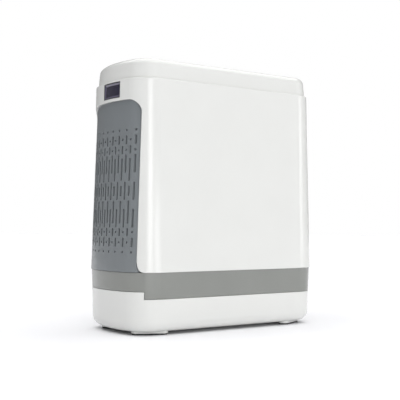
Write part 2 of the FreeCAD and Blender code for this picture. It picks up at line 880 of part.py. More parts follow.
def make_band_fittings():
    screws = []
    for name, sides in QUARTERS.items():
        centre = screw_place(sides)
        shank = rod(f"screw_shank_{name}", "z", centre, "screw_shank", "deck_top - over",
                    "shell_bottom + screw_reach")
        head = rod(f"screw_head_{name}", "z", centre, "screw_head", "deck_bottom + head_sunk",
                   "deck_top - over")
        screws.append(fuse(f"screw_{name}", shank, head))
    centre = ("inlet_x", "inlet_z")
    inlet = fuse("dc_inlet",
                 ring("inlet_barrel", "y", centre, "inlet_radius", "inlet_socket", "inlet_floor",
                      "inlet_face"),
                 rod("inlet_plate", "y", centre, "inlet_radius", "inlet_back", "inlet_floor"),
                 rod("inlet_centre", "y", centre, "inlet_pin", "inlet_floor", "inlet_face - over"))
    button = block("release_plate", about("release_x", "release_half_width"),
                   ("release_back", "release_face"),
                   about("release_z", "release_half_height"))
    stem = block("release_stem", about("release_x", "release_stem_half"),
                 ("release_stem_end", "release_back"),
                 about("release_z", "release_stem_half"))
    top = "deck_top + connector_rise"
    housing = block("connector_block", about("connector_x", "connector_half_length"),
                    about("0", "connector_half_width"), ("deck_bottom + connector_gap", top))
    return [group("housing_screws", *screws), inlet, fuse("release_button", button, stem),
            fuse("battery_connector", housing, *blades("connector_blade", top, f"{top} + blade_height"))]


# --- battery base -----------------------------------------------------------------------------------

def foot_shape(label, sides, low, high, rim="0"):
    """A rounded bar that follows the corner of the base."""
    half = value("(foot_length - foot_width) / 2")
    radius = value(f"foot_width / 2 + {rim}")
    body = new_body(label)
    sketch = new_sketch(body, label + "_sketch", offset=low)
    turn = math.radians(value("foot_turn")) * -sides[0] * sides[1]
    centre = Vector(sides[0] * value("foot_centre_x"), sides[1] * value("foot_centre_y"), 0)
    along = Vector(math.cos(turn), math.sin(turn), 0)
    across = Vector(-math.sin(turn), math.cos(turn), 0)
    near, far = centre - along * half, centre + along * half
    quarter = math.pi / 2
    sketch.addGeometry([
        Part.LineSegment(near - across * radius, far - across * radius),
        arc((far.x, far.y), radius, turn - quarter, turn + quarter),
        Part.LineSegment(far + across * radius, near + across * radius),
        arc((near.x, near.y), radius, turn + quarter, turn + 3 * quarter),
    ], False)
    pad(body, label + "_pad", sketch, f"({high}) - ({low})")
    return body


def make_battery_case():
    outer = new_body("case_body")
    sketch = outline(outer, "case_outline", "battery_top", BASE_INSET)
    solid = pad(outer, "case_pad", sketch, "battery_top - base_bottom", down=True, draft="base_draft")
    edge_round(outer, "case_edge", solid, "base_edge_radius", "base_bottom")
    upper = prism("case_room", f"{BASE_INSET} + case_side", "base_bottom + well_top", "battery_top + over")
    lower = prism("case_well", f"{BASE_INSET} + well_side", "base_bottom + case_floor",
                  "base_bottom + well_top + over")
    wall_solid = prism_down("end_wall_solid", f"{BASE_INSET} - end_wall_rise", "tongue_top", "battery_top",
                            "base_draft")
    wall_side = block("end_wall_side", ("0 - beyond", "band_notch - slide_gap"), EVERY_Y,
                      ("0", "shell_bottom"))
    pedestals = [foot_shape(f"pedestal_{name}", sides, "foot_height", "base_bottom + 2 * over",
                            "pedestal_rim")
                 for name, sides in QUARTERS.items()]
    return fuse("battery_case", cut("case_hollow", outer, upper, lower),
                common("end_wall", wall_solid, wall_side),
                *pedestals)


def make_battery_lid():
    """The plug that shuts the case, with the tongue that slides under the deck on two rails."""
    plug = prism("lid_plug", f"{BASE_INSET} + case_side + plug_gap", "battery_top - plug_depth",
                 "battery_top")
    tongue = block("lid_tongue", ("band_notch - slide_gap", "tongue_end"), about("0", "tongue_half_width"),
                   ("battery_top", "tongue_top"))
    room = block("lid_room", ("lid_room_left", "lid_room_right"), about("0", "lid_room_half"),
                 ("battery_top - plug_depth - over", "tongue_top - lid_roof"))
    grooves = [block(f"groove_{side}", ("band_notch - slide_gap", "tongue_end + over"),
                     about(f"{side} * groove_middle", "groove_half + slide_gap / 2"),
                     ("rail_bottom - slide_gap", "rail_bottom + rail_height + slide_gap"))
               for side in (-1, 1)]
    return cut("battery_lid", fuse("lid_blank", plug, tongue), room, *grooves)


def make_battery_inside():
    floor = "base_bottom + case_floor"
    cells = []
    for bank, low in (("left", "left_cells"), ("right", "right_cells")):
        for row in range(4):
            centre = (f"({row} - 1.5) * (2 * cell_radius + cell_gap)", f"{floor} + cell_radius")
            cells.append(rod(f"cell_{bank}_{row}", "x", centre, "cell_radius", low, f"{low} + cell_length"))
    level = "battery_board_level"
    plate = block("battery_board_plate", ("battery_board_left", "battery_board_right"),
                  about("0", "battery_board_half"), (level, f"{level} + board_thickness"))
    ends = {-1: "battery_board_left + leg_inset", 1: "battery_board_right - leg_inset"}
    legs = [block(f"board_leg_{name}", about(ends[x], "leg_half"),
                  about(f"{y} * (battery_board_half - leg_inset)", "leg_half"), (floor, level))
            for name, (x, y) in QUARTERS.items()]
    contacts = blades("contact", f"{level} + board_thickness", "tongue_top - lid_roof")
    return [group("battery_cells", *cells), fuse("battery_board", plate, *contacts, *legs)]


def make_battery():
    feet = [foot_shape(f"foot_{name}", sides, "0", "foot_height") for name, sides in QUARTERS.items()]
    return [make_battery_case(), make_battery_lid()] + make_battery_inside() + feet


# --- structure --------------------------------------------------------------------------------------

def make_chassis():
    """The deck plate, the fan's bulkhead, the bulkhead beside the beds on its two legs, and the shelf."""
    half_width = "chassis_half_width"
    deck = cut("chassis_deck",
               block("chassis_plate", about("0", "chassis_half_length"), about("0", half_width),
                     ("deck_top", "plate_top")),
               block("chassis_opening", about("connector_x", "opening_half_length"),
                     about("0", "opening_half_width"), ("deck_top - over", "plate_top + over")))
    fan_back = "fan_left + fan_depth"
    fan_wall = cut("fan_bulkhead",
                   block("fan_wall", (fan_back, f"{fan_back} + bulkhead_thickness"), about("0", half_width),
                         ("plate_top", "bulkhead_top")),
                   rod("fan_wall_hole", "x", ("0", "fan_z"), "fan_bore", "fan_left",
                       f"{fan_back} + bulkhead_thickness + over"))
    divider = about("bulkhead_x", "divider_half")
    bed_wall = block("bed_bulkhead", divider, about("0", "bulkhead_half"),
                     ("bulkhead_bottom", "bulkhead_top"))
    shelf = block("chassis_shelf", (f"{fan_back} + bulkhead_thickness", divider[0]),
                  about("0", "bulkhead_half"),
                  ("shelf_bottom", "shelf_top"))
    legs = [block(f"chassis_leg_{name}", divider,
                  about(f"{side} * (chassis_half_width - leg_width / 2)", "leg_width / 2"),
                  ("plate_top", "bulkhead_bottom")) for name, side in SIDES.items()]
    wire_hole = rod("wire_hole", "x", ("wire_hole_y", "wire_hole_z"), "wire_hole_radius", "0 - beyond",
                    "beyond")
    return cut("inner_chassis", fuse("chassis_blank", deck, fan_wall, bed_wall, shelf, *legs), wire_hole)


# --- compressor -------------------------------------------------------------------------------------

AXIS = ("0", "crank_z")
CYLINDERS = {"front": "cylinder_front_x", "rear": "cylinder_rear_x"}


def span(side, low, high):
    """A span along Y, measured outward from the crank to the front (-1) or the rear (1)."""
    ends = (f"{side} * ({low})", f"{side} * ({high})")
    return ends if side > 0 else ends[::-1]


def bearing(label, low, high):
    return ring(label, "x", AXIS, "bearing_radius", "shaft_radius + shaft_clearance", low, high)


def make_crankcase():
    solid = block("case_block", ("case_left", "case_right"), about("0", "case_half"),
                  about("crank_z", "case_half"))
    room = block("case_space", ("case_left + case_wall", "case_right - case_wall"),
                 about("0", "case_space_half"),
                 about("crank_z", "case_space_half"))
    seats = rod("bearing_seats", "x", AXIS, "bearing_radius", "case_left - over", "case_right + over")
    bores = [rod(f"case_bore_{name}", "y", (CYLINDERS[name], "crank_z"), "bore_radius",
                 *span(side, "0", "bore_start")) for name, side in SIDES.items()]
    return cut("crankcase", solid, room, seats, *bores)


def make_crankshaft():
    left_web = ("pin_left - crank_web", "pin_left")
    right_web = ("pin_right", "pin_right + crank_web")
    pieces = [rod("shaft_left", "x", AXIS, "shaft_radius", "case_left", "pin_left - web_overlap"),
              rod("web_left", "x", AXIS, "crank_web_radius", *left_web),
              rod("crank_pin", "x", ("0", "crank_z + crank_throw"), "shaft_radius", "pin_left", "pin_right"),
              rod("web_right", "x", AXIS, "crank_web_radius", *right_web),
              rod("shaft_right", "x", AXIS, "shaft_radius", "pin_right + web_overlap",
                  "can_right - can_wall")]
    return fuse("crankshaft", *pieces)


def make_cylinder_set(name):
    """One cylinder, its head and its wobble piston."""
    side, x = SIDES[name], CYLINDERS[name]
    bore = (x, "crank_z")
    barrel = ring(f"cylinder_{name}", "y", bore, "cylinder_radius", "bore_radius",
                  *span(side, "case_half", "cylinder_reach"))
    head = block(f"head_{name}", about(x, "head_half"),
                 span(side, "cylinder_reach", "cylinder_reach + head_thickness"),
                 about("crank_z", "head_half"))
    crown = rod(f"piston_crown_{name}", "y", bore, "bore_radius - piston_clearance",
                *span(side, "crown_start", "crown_end"))
    neck = block(f"piston_rod_{name}", about(x, "rod_half"), span(side, "rod_start", "crown_start"),
                 about("crank_z", "rod_half_height"))
    eye = ring(f"piston_eye_{name}", "x", AXIS, "eye_outer", "eye_inner", *about(x, "rod_half"))
    return [barrel, head, fuse(f"piston_{name}", crown, neck, eye)]


def make_motor():
    can = cut("motor_can", rod("can_outside", "x", AXIS, "can_radius", "case_right", "can_right"),
              rod("can_inside", "x", AXIS, "can_radius - can_wall", "case_right - over",
                  "can_right - can_end"),
              rod("can_bore", "x", AXIS, "bearing_radius", "case_right", "can_right + over"))
    stator = ring("motor_stator", "x", AXIS, "can_radius - can_wall", "stator_inner", "case_right + can_end",
                  "can_right - can_end - stator_gap")
    rotor = ring("motor_rotor", "x", AXIS, "stator_inner - air_gap", "shaft_radius",
                 "case_right + can_end + over",
                 "can_right - can_end - stator_gap - over")
    return [can, stator, rotor]


def make_compressor():
    bearings = group("crank_bearings",
                     bearing("bearing_left", "case_left", "case_left + case_wall"),
                     bearing("bearing_middle", "case_right - case_wall", "case_right"),
                     bearing("bearing_right", "can_right - can_wall - bearing_length",
                             "can_right - can_wall"))
    middle = "(case_left + case_right) / 2"
    mounts = [rod(f"mount_{name}", "z", (f"{middle} + {x} * mount_x", f"{y} * mount_y"), "mount_radius",
                  "plate_top", "crank_z - case_half") for name, (x, y) in QUARTERS.items()]
    parts = [make_crankcase(), bearings, make_crankshaft()]
    for name in SIDES:
        parts += make_cylinder_set(name)
    return parts + make_motor() + [group("vibration_mounts", *mounts)]


# --- fan and cooling coil ---------------------------------------------------------------------------

FAN_AXIS = ("0", "fan_z")
FAN_BLADES = 7


def make_fan_frame():
    low, high = "fan_left", "fan_left + fan_depth"
    square = block("fan_square", (low, high), about("0", "fan_half"), about("fan_z", "fan_half"))
    tunnel = rod("fan_tunnel", "x", FAN_AXIS, "fan_bore", f"{low} - over", f"{high} + over")
    back = (f"{high} - fan_strut_depth", high)
    long, thin = "fan_bore + fan_strut_root", "fan_strut_half"
    struts = [block("fan_strut_across", back, about("0", long), about("fan_z", thin)),
              block("fan_strut_upright", back, about("0", thin), about("fan_z", long)),
              rod("fan_motor", "x", FAN_AXIS, "fan_hub", *back),
              rod("fan_post", "x", FAN_AXIS, "fan_pin", f"{low} + 2 * fan_strut_half", high)]
    return fuse("fan_frame", cut("fan_frame_square", square, tunnel), *struts)


def fan_blade(number):
    """One flat blade, set at its angle and turned round the hub."""
    chord, web = value("blade_chord"), value("blade_web")
    blade = doc.addObject("Part::Box", f"blade_{number}")
    bind(blade, "Length", "blade_web")
    bind(blade, "Width", "blade_chord")
    bind(blade, "Height", "blade_length")
    round_hub = FreeCAD.Rotation(Vector(1, 0, 0), number * 360 / FAN_BLADES)
    turn = round_hub.multiply(FreeCAD.Rotation(Vector(0, 0, 1), value("blade_angle")))
    centre = Vector(value("fan_left + blade_middle"), 0, value("fan_z"))
    from_hub = FreeCAD.Placement(Vector(-web / 2, -chord / 2, value("blade_root")), FreeCAD.Rotation())
    blade.Placement = FreeCAD.Placement(centre, turn).multiply(from_hub)
    return blade


def make_fan():
    hub = ring("fan_hub_ring", "x", FAN_AXIS, "fan_hub", "fan_pin_hole", "fan_left + fan_hub_front",
               "fan_left + fan_depth - fan_hub_back")
    blank = fuse("fan_rotor_blank", hub, *[fan_blade(number) for number in range(FAN_BLADES)])
    reach = rod("fan_reach", "x", FAN_AXIS, "fan_bore - blade_tip_gap", "fan_left + blade_tip_gap",
                "fan_left + fan_depth - fan_hub_back + blade_tip_gap / 2")
    return [make_fan_frame(), common("fan_rotor", blank, reach)]


COIL_RUNS = 4


def make_cooling_coil():
    """A flat serpentine of tube over the crankcase and motor."""
    level, pitch = value("coil_z"), value("coil_pitch")
    left, right = value("coil_left"), value("coil_right")
    edges = []
    for run in range(COIL_RUNS):
        y = (run - (COIL_RUNS - 1) / 2) * pitch
        start, end = (right, left) if run % 2 else (left, right)
        edges.append(Part.LineSegment(Vector(start, y, level), Vector(end, y, level)).toShape())
        if run < COIL_RUNS - 1:
            bend = end + math.copysign(pitch / 2, end - start)
            turn = Part.Arc(Vector(end, y, level), Vector(bend, y + pitch / 2, level),
                            Vector(end, y + pitch, level))
            edges.append(turn.toShape())
    centre = edges[0].Vertexes[0].Point
    section = Part.Circle(centre, Vector(1, 0, 0), value("coil_tube_radius")).toShape()
    coil = doc.addObject("Part::Feature", "cooling_coil")
    coil.Shape = Part.Wire(edges).makePipeShell([Part.Wire(section)], True, True)
    return coil


# --- gas path ---------------------------------------------------------------------------------------

BED_INSIDE = "bed_radius - bed_wall"


def bed_block(label, z, plugs):
    """The block at one end of both beds, with a plug into each."""
    solid = block(label + "_block", about("bed_x", "bed_block_half_length"),
                  about("0", "bed_block_half_width"), z)
    return fuse(label, solid,
                *[rod(f"{label}_plug_{name}", "z", ("bed_x", f"{side} * bed_y"), BED_INSIDE, *plugs)
                                for name, side in SIDES.items()])


def make_beds():
    tubes, charges = [], []
    for name, side in SIDES.items():
        centre = ("bed_x", f"{side} * bed_y")
        tubes.append(ring(f"sieve_bed_{name}", "z", centre, "bed_radius", BED_INSIDE, "bed_bottom",
                          "bed_top"))
        charges.append(rod(f"charge_{name}", "z", centre, BED_INSIDE, "bed_bottom + bed_plug",
                           "bed_top - bed_plug"))
    base = bed_block("bed_base", ("plate_top", "bed_bottom"), ("bed_bottom", "bed_bottom + bed_plug"))
    cap = bed_block("bed_cap", ("bed_top", "bed_top + bed_cap_height"), ("bed_top - bed_plug", "bed_top"))
    return tubes + [group("zeolite", *charges), base, cap]


def make_outlet_column():
    """The product tank, with the regulator, oxygen sensor and pulse valve above it, up to the outlet."""
    centre = ("outlet_x", "0")
    tank = cut("product_tank", rod("tank_outside", "z", centre, "tank_radius", "tank_bottom", "tank_top"),
               rod("tank_inside", "z", centre, "tank_radius - tank_wall", "tank_bottom + tank_floor",
                   "tank_top - tank_floor"))
    regulator = fuse("regulator",
                     rod("regulator_body", "z", centre, "regulator_radius", "tank_top", "regulator_top"),
                     rod("regulator_dome", "z", centre, "dome_radius", "dome_bottom", "dome_top"))
    sensor = block("oxygen_sensor", about("outlet_x", "sensor_half_length"), about("0", "sensor_half_width"),
                   ("regulator_top", "sensor_top"))
    valve = fuse("pulse_valve",
                 block("pulse_valve_block", about("outlet_x", "pulse_half_length"),
                       about("0", "pulse_half_width"),
                       ("sensor_top", "pulse_top")),
                 rod("pulse_valve_coil", "y", ("outlet_x", "pulse_coil_z"), "pulse_coil_radius",
                     "pulse_half_width",
                     "pulse_coil_end"))
    tube = ring("outlet_tube", "z", centre, "outlet_tube_radius", "outlet_tube_bore", "pulse_top",
                "cap_top - outlet_tube_stop")
    return [tank, regulator, sensor, valve, tube]


SOLENOIDS = 4


def make_valve_set():
    level = ("manifold_bottom", "manifold_top")
    manifold = block("manifold", ("manifold_left", "manifold_right"), about("0", "manifold_half"), level)
    arm = block("manifold_arm", ("manifold_right", "bulkhead_x - divider_half"), about("0", "arm_half"),
                ("manifold_bottom + arm_inset", "manifold_top - arm_inset"))
    coils = [rod(f"solenoid_{number}", "z", (f"solenoid_left + {number} * solenoid_pitch", "0"),
                 "solenoid_radius",
                 "manifold_top", "shelf_bottom") for number in range(SOLENOIDS)]
    centre = ("intake_x", "intake_y")
    intake = fuse("intake_filter",
                  rod("intake_body", "z", centre, "intake_radius", "intake_bottom", "shelf_bottom"),
                  rod("intake_spigot", "z", centre, "spigot_radius", "intake_bottom - spigot_length",
                      "intake_bottom"))
    return [fuse("valve_manifold", manifold, arm), group("solenoid_valves", *coils), intake]


# --- electronics ------------------------------------------------------------------------------------

def make_electronics():
    face = "main_board_front"
    plate = block("main_board_plate", ("main_board_left", "main_board_right"), (face, "main_board_back"),
                  ("main_board_bottom", "main_board_top"))
    chip = block("main_board_chip", ("chip_left", "chip_right"), ("chip_front", face),
                 ("chip_bottom", "chip_top"))
    choke = block("main_board_choke", ("0", "choke_right"), ("choke_front", face),
                  ("choke_bottom", "choke_top"))
    capacitors = [rod(f"capacitor_{number}", "y",
                      (f"capacitor_x + {number} * capacitor_pitch", "capacitor_z"),
                      "capacitor_radius", "capacitor_front", face) for number in range(2)]
    lug = block("board_lug", ("main_board_left", "main_board_left + lug_width"),
                ("lug_front", "main_board_back"),
                ("main_board_top", "shelf_bottom"))
    sounder = rod("buzzer", "z", ("buzzer_x", "buzzer_y"), "buzzer_radius", "shelf_top",
                  "shelf_top + buzzer_height")
    return [fuse("main_board", plate, chip, choke, lug, *capacitors), sounder]


# --- the whole part ---------------------------------------------------------------------------------

def build_parts():
    """Every sub-part of the concentrator, by the name of its node."""
    slots = slot_cutters()
    parts = {
        "main_housing": make_main_housing(),
        "top_cap": make_top_cap(),
        "outlet_nozzle": make_outlet(),
        "left_grille": make_grille("left_grille", LEFT_END, slots),
        "right_grille": make_grille("right_grille", RIGHT_END, slots),
        "foam_filter": make_filter(),
        "base_band": make_base_band(),
        "inner_chassis": make_chassis(),
        "cooling_coil": make_cooling_coil(),
    }
    sets = (
        (("control_panel",) + BUTTONS + ("control_board",), make_controls),
        (("display_bezel", "display_lens", "display_board"), make_display),
        (("housing_screws", "dc_inlet", "release_button", "battery_connector"), make_band_fittings),
        (("battery_case", "battery_lid", "battery_cells", "battery_board")
         + tuple(f"foot_{name}" for name in QUARTERS), make_battery),
        (("crankcase", "crank_bearings", "crankshaft", "cylinder_front", "head_front", "piston_front",
          "cylinder_rear", "head_rear", "piston_rear", "motor_can", "motor_stator", "motor_rotor",
          "vibration_mounts"), make_compressor),
        (("fan_frame", "fan_rotor"), make_fan),
        (("sieve_bed_front", "sieve_bed_rear", "zeolite", "bed_base", "bed_cap"), make_beds),
        (("product_tank", "regulator", "oxygen_sensor", "pulse_valve", "outlet_tube"), make_outlet_column),
        (("valve_manifold", "solenoid_valves", "intake_filter"), make_valve_set),
        (("main_board", "buzzer"), make_electronics),
    )
    for names, make in sets:
        parts.update(zip(names, make(), strict=True))
    return parts


def check_and_write(parts):
    """Stop on any failed object or shape, then write one STEP file for each sub-part."""
    doc.recompute()
    failed = [item.Name for item in doc.Objects if {"Invalid", "Error"} & set(item.State)]
    if failed:
        raise RuntimeError("objects that did not compute: " + ", ".join(failed))
    os.makedirs("parts", exist_ok=True)
    for name, part in parts.items():
        part.Label = name
        shape = part.Shape
        if shape.isNull() or not shape.isValid() or not shape.Solids:
            raise RuntimeError(f"{name} has no valid solid")
        shape.exportStep(f"parts/{name}.step")
        print(f"{name}: {len(shape.Solids)} solids, {shape.Volume:.1f} mm3")


check_and_write(build_parts())
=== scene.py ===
"""Portable oxygen concentrator: materials, small details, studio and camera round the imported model.

Lengths are in metres. Names ending in _MM and values multiplied by MM are in millimetres.
"""
import json
import math

import bmesh
import bpy
from mathutils import Matrix, Vector


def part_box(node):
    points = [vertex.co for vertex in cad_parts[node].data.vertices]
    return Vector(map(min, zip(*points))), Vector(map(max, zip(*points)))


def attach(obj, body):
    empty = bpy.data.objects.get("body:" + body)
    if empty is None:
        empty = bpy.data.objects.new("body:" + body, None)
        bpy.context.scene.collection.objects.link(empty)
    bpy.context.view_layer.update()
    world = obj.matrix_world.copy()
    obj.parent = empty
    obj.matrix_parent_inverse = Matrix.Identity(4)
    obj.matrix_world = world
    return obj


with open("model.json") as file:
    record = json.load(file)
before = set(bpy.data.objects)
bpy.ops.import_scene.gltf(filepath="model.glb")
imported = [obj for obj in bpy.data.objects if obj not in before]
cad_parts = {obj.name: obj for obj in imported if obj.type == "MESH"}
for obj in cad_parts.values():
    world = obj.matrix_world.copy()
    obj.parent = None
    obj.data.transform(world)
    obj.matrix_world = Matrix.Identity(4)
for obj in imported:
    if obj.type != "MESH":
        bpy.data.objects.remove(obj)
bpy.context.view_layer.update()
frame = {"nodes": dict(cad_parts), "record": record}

nodes = frame["nodes"]
scene = bpy.context.scene
MM = 0.001


# --- camera, light and floor ------------------------------------------------------------------------

CAMERA_PLACE = Vector((-0.4219, -0.6128, 0.0922))
VIEW_HEADING = math.radians(34.261)
VIEW_PITCH = math.radians(1.636)
VIEW_ROLL = math.radians(0.313)
FOCAL_LENGTH_MM = 73.23
SENSOR_WIDTH_MM = 36.0


def make_camera():
    """The three-quarter view of the front and the display end, from a little below the middle."""
    flat = Vector((math.sin(VIEW_HEADING), math.cos(VIEW_HEADING), 0))
    forward = flat * math.cos(VIEW_PITCH) + Vector((0, 0, math.sin(VIEW_PITCH)))
    level = Vector((math.cos(VIEW_HEADING), -math.sin(VIEW_HEADING), 0))
    right = level * math.cos(VIEW_ROLL) + level.cross(forward) * math.sin(VIEW_ROLL)
    up = right.cross(forward)
    data = bpy.data.cameras.new("camera")
    data.sensor_width = SENSOR_WIDTH_MM
    data.lens = FOCAL_LENGTH_MM
    data.clip_start = 0.01
    data.clip_end = 50
    camera = bpy.data.objects.new("camera", data)
    camera.matrix_world = Matrix((right, up, -forward)).transposed().to_4x4()
    camera.matrix_world.translation = CAMERA_PLACE
    scene.collection.objects.link(camera)
    scene.camera = camera


OBJECT_MIDDLE = Vector((0, 0, 0.11))


def area_light(name, bearing, height, distance, size, radiance):
    """A soft box aimed at the object's middle. Bearing 0 is in front of it and 90 is at its right."""
    turn = math.radians(bearing)
    place = Vector((math.sin(turn) * distance, -math.cos(turn) * distance, height))
    data = bpy.data.lights.new(name, "AREA")
    data.shape = "RECTANGLE"
    data.size, data.size_y = size
    data.energy = radiance * math.pi * size[0] * size[1]
    light = bpy.data.objects.new(name, data)
    light.location = place
    light.rotation_euler = (OBJECT_MIDDLE - place).to_track_quat("-Z", "Y").to_euler()
    light.visible_camera = False
    scene.collection.objects.link(light)


def overhead_light(strength, spread_angle):
    """An even light from straight above, wide enough to leave only a soft contact shadow."""
    data = bpy.data.lights.new("overhead", "SUN")
    data.energy = strength
    data.angle = math.radians(spread_angle)
    light = bpy.data.objects.new("overhead", data)
    light.location = (0, 0, 2)
    scene.collection.objects.link(light)


# Sky strength behind the camera and behind the object, and where one turns into the other.
SKY_FRONT = 0.03
SKY_BACK = 0.18
SKY_TURN = (-0.3, 0.4)
OVERHEAD = 3.60
OVERHEAD_SPREAD = 100
BOXES = (
    # name, bearing, height, distance, width and height, radiance
    ("near_strip", -18, 0.22, 1.5, (0.45, 0.7), 6.0),
    ("right_strip", 55, 0.22, 1.5, (0.26, 0.7), 3.5),
    ("low_box", 6, 0.09, 0.9, (0.30, 0.16), 4.5),
)


def make_sky():
    """White behind the object and dimmer on the camera's side; the camera itself sees plain white."""
    world = bpy.data.worlds.new("studio")
    world.use_nodes = True
    tree = world.node_tree
    backdrop = tree.nodes["Background"]
    backdrop.inputs["Color"].default_value = (1, 1, 1, 1)
    way = tree.nodes.new("ShaderNodeTexCoord")
    facing = tree.nodes.new("ShaderNodeVectorMath")
    facing.operation = "DOT_PRODUCT"
    facing.inputs[1].default_value = (math.sin(VIEW_HEADING), math.cos(VIEW_HEADING), 0)
    level = tree.nodes.new("ShaderNodeMapRange")
    level.inputs["From Min"].default_value = SKY_TURN[0]
    level.inputs["From Max"].default_value = SKY_TURN[1]
    level.inputs["To Min"].default_value = SKY_FRONT
    level.inputs["To Max"].default_value = SKY_BACK
    sky = tree.nodes.new("ShaderNodeBackground")
    seen = tree.nodes.new("ShaderNodeLightPath")
    mixed = tree.nodes.new("ShaderNodeMixShader")
    tree.links.new(way.outputs["Generated"], facing.inputs[0])
    tree.links.new(facing.outputs["Value"], level.inputs["Value"])
    tree.links.new(level.outputs["Result"], sky.inputs["Strength"])
    tree.links.new(seen.outputs["Is Camera Ray"], mixed.inputs["Fac"])
    tree.links.new(sky.outputs["Background"], mixed.inputs[1])
    tree.links.new(backdrop.outputs["Background"], mixed.inputs[2])
    output = tree.nodes["World Output"]
    tree.links.new(mixed.outputs["Shader"], output.inputs["Surface"])
    scene.world = world


FLOOR_RADIUS = 6.0


def make_floor():
    mesh = bpy.data.meshes.new("floor")
    build = bmesh.new()
    bmesh.ops.create_circle(build, cap_ends=True, segments=96, radius=FLOOR_RADIUS)
    build.to_mesh(mesh)
    build.free()
    floor = bpy.data.objects.new("floor", mesh)
    pale = surface("studio_floor", (0.92, 0.92, 0.94), 0.6, grain=(0.6, 0.004), mottle=0.004)
    floor.data.materials.append(pale)
    scene.collection.objects.link(floor)


def make_studio():
    make_sky()
    make_floor()
    overhead_light(OVERHEAD, OVERHEAD_SPREAD)
    for box in BOXES:
        area_light(*box)
    scene.view_settings.view_transform = "Standard"


# --- materials ------------------------------------------------------------------------------------------

class Graph:
    """A short way to add nodes to a material and join them."""

    def __init__(self, material):
        material.use_nodes = True
        self.tree = material.node_tree
        self.tree.nodes.clear()

    def add(self, kind, inputs=None, **settings):
        node = self.tree.nodes.new(kind)
        for name, setting in settings.items():
            setattr(node, name, setting)
        for name, source in (inputs or {}).items():
            if isinstance(source, bpy.types.NodeSocket):
                self.tree.links.new(source, node.inputs[name])
            else:
                node.inputs[name].default_value = source
        return node


def noise(graph, place, size_mm, detail=2.0, roughness=0.5):
    """Noise whose features are about size_mm across."""
    inputs = {"Vector": place, "Scale": 1000.0 / size_mm, "Detail": detail, "Roughness": roughness}
    return graph.add("ShaderNodeTexNoise", inputs).outputs["Fac"]


def spread(graph, factor, low, high):
    """A factor's middle stretch laid over the range from low to high."""
    inputs = {"Value": factor, "From Min": 0.3, "From Max": 0.7, "To Min": low, "To Max": high}
    return graph.add("ShaderNodeMapRange", inputs).outputs["Result"]


def edge_mask(graph, radius_mm):
    """1 along convex and concave edges and 0 on open faces."""
    soft = graph.add("ShaderNodeBevel", {"Radius": radius_mm * MM}, samples=6)
    plain = graph.add("ShaderNodeNewGeometry")
    dot = graph.add("ShaderNodeVectorMath", operation="DOT_PRODUCT")
    graph.tree.links.new(soft.outputs["Normal"], dot.inputs[0])
    graph.tree.links.new(plain.outputs["Normal"], dot.inputs[1])
    ramp = {"Value": dot.outputs["Value"], "From Min": 0.995, "From Max": 0.9, "To Min": 0.0, "To Max": 1.0}
    return soft.outputs["Normal"], graph.add("ShaderNodeMapRange", ramp).outputs["Result"]


GLOSS_SPREAD = 0.035


def tinted(colour, factor, offset=0.0):
    """A colour made lighter or darker, with its opacity added."""
    return tuple(min(1.0, part * factor + offset) for part in colour) + (1.0,)


def mixed_colour(graph, factor, first, second):
    """Blend from the first colour to the second; each is a socket or a constant."""
    mix = graph.add("ShaderNodeMix", {"Factor": factor}, data_type="RGBA")
    colour_sockets = [socket for socket in mix.inputs if socket.type == "RGBA"]
    for socket, source in zip(colour_sockets, (first, second)):
        if isinstance(source, bpy.types.NodeSocket):
            graph.tree.links.new(source, socket)
        else:
            socket.default_value = source
    return next(socket for socket in mix.outputs if socket.type == "RGBA")


def surface(name, colour, roughness, grain=(0.4, 0.01), mottle=0.03, metallic=0.0, coat=0.0, wear=0.0,
            specular=0.5, edge_mm=0.3, sheen=0.0, height=None):
    """A moulded, cast or turned surface: colour mottle, fine grain, uneven gloss and worn edges.

    grain is the size of its bumps and their depth, both in millimetres.
    """
    material = bpy.data.materials.new(name)
    graph = Graph(material)
    place = graph.add("ShaderNodeTexCoord").outputs["Object"]
    soft_normal, edges = edge_mask(graph, edge_mm)
    darker = tinted(colour, 1 - mottle)
    lighter = tinted(colour, 1 + mottle * 0.6)
    broad = spread(graph, noise(graph, place, 38, 3.0), 0.0, 1.0)
    tint = mixed_colour(graph, broad, darker, lighter)
    if wear > 0:
        patchy = spread(graph, noise(graph, place, 3.0, 4.0, 0.7), 0.0, wear)
        amount = graph.add("ShaderNodeMath", operation="MULTIPLY")
        graph.tree.links.new(edges, amount.inputs[0])
        graph.tree.links.new(patchy, amount.inputs[1])
        tint = mixed_colour(graph, amount.outputs[0], tint, tinted(colour, 1.35, 0.05))
    streaks = noise(graph, place, 6.0, 4.0, 0.6)
    gloss = spread(graph, streaks, roughness - GLOSS_SPREAD, roughness + GLOSS_SPREAD)
    size, depth = grain
    relief = noise(graph, place, size, 2.0) if height is None else height(graph, place)
    bump = graph.add("ShaderNodeBump", {
        "Strength": 1.0, "Distance": depth * MM, "Height": relief, "Normal": soft_normal})
    shader = graph.add("ShaderNodeBsdfPrincipled", {
        "Base Color": tint, "Roughness": gloss, "Normal": bump.outputs["Normal"], "Metallic": metallic,
        "Coat Weight": coat, "Specular IOR Level": specular, "Sheen Weight": sheen})
    output = graph.add("ShaderNodeOutputMaterial")
    graph.tree.links.new(shader.outputs["BSDF"], output.inputs["Surface"])
    return material


def smoked_glass(name, colour):
    """Dark glossy acrylic with faint wiping marks."""
    return surface(name, colour, 0.07, grain=(9.0, 0.004), mottle=0.10, coat=1.0, specular=0.7,
                   edge_mm=0.2)


def light_guide(name, colour):
    """Tinted clear plastic."""
    return surface(name, colour, 0.12, grain=(1.5, 0.004), mottle=0.12, coat=0.8, edge_mm=0.15)


def foam_cells(graph, place):
    cells = graph.add("ShaderNodeTexVoronoi", {"Vector": place, "Scale": 1000 / 1.1}, feature="F1")
    return cells.outputs["Distance"]


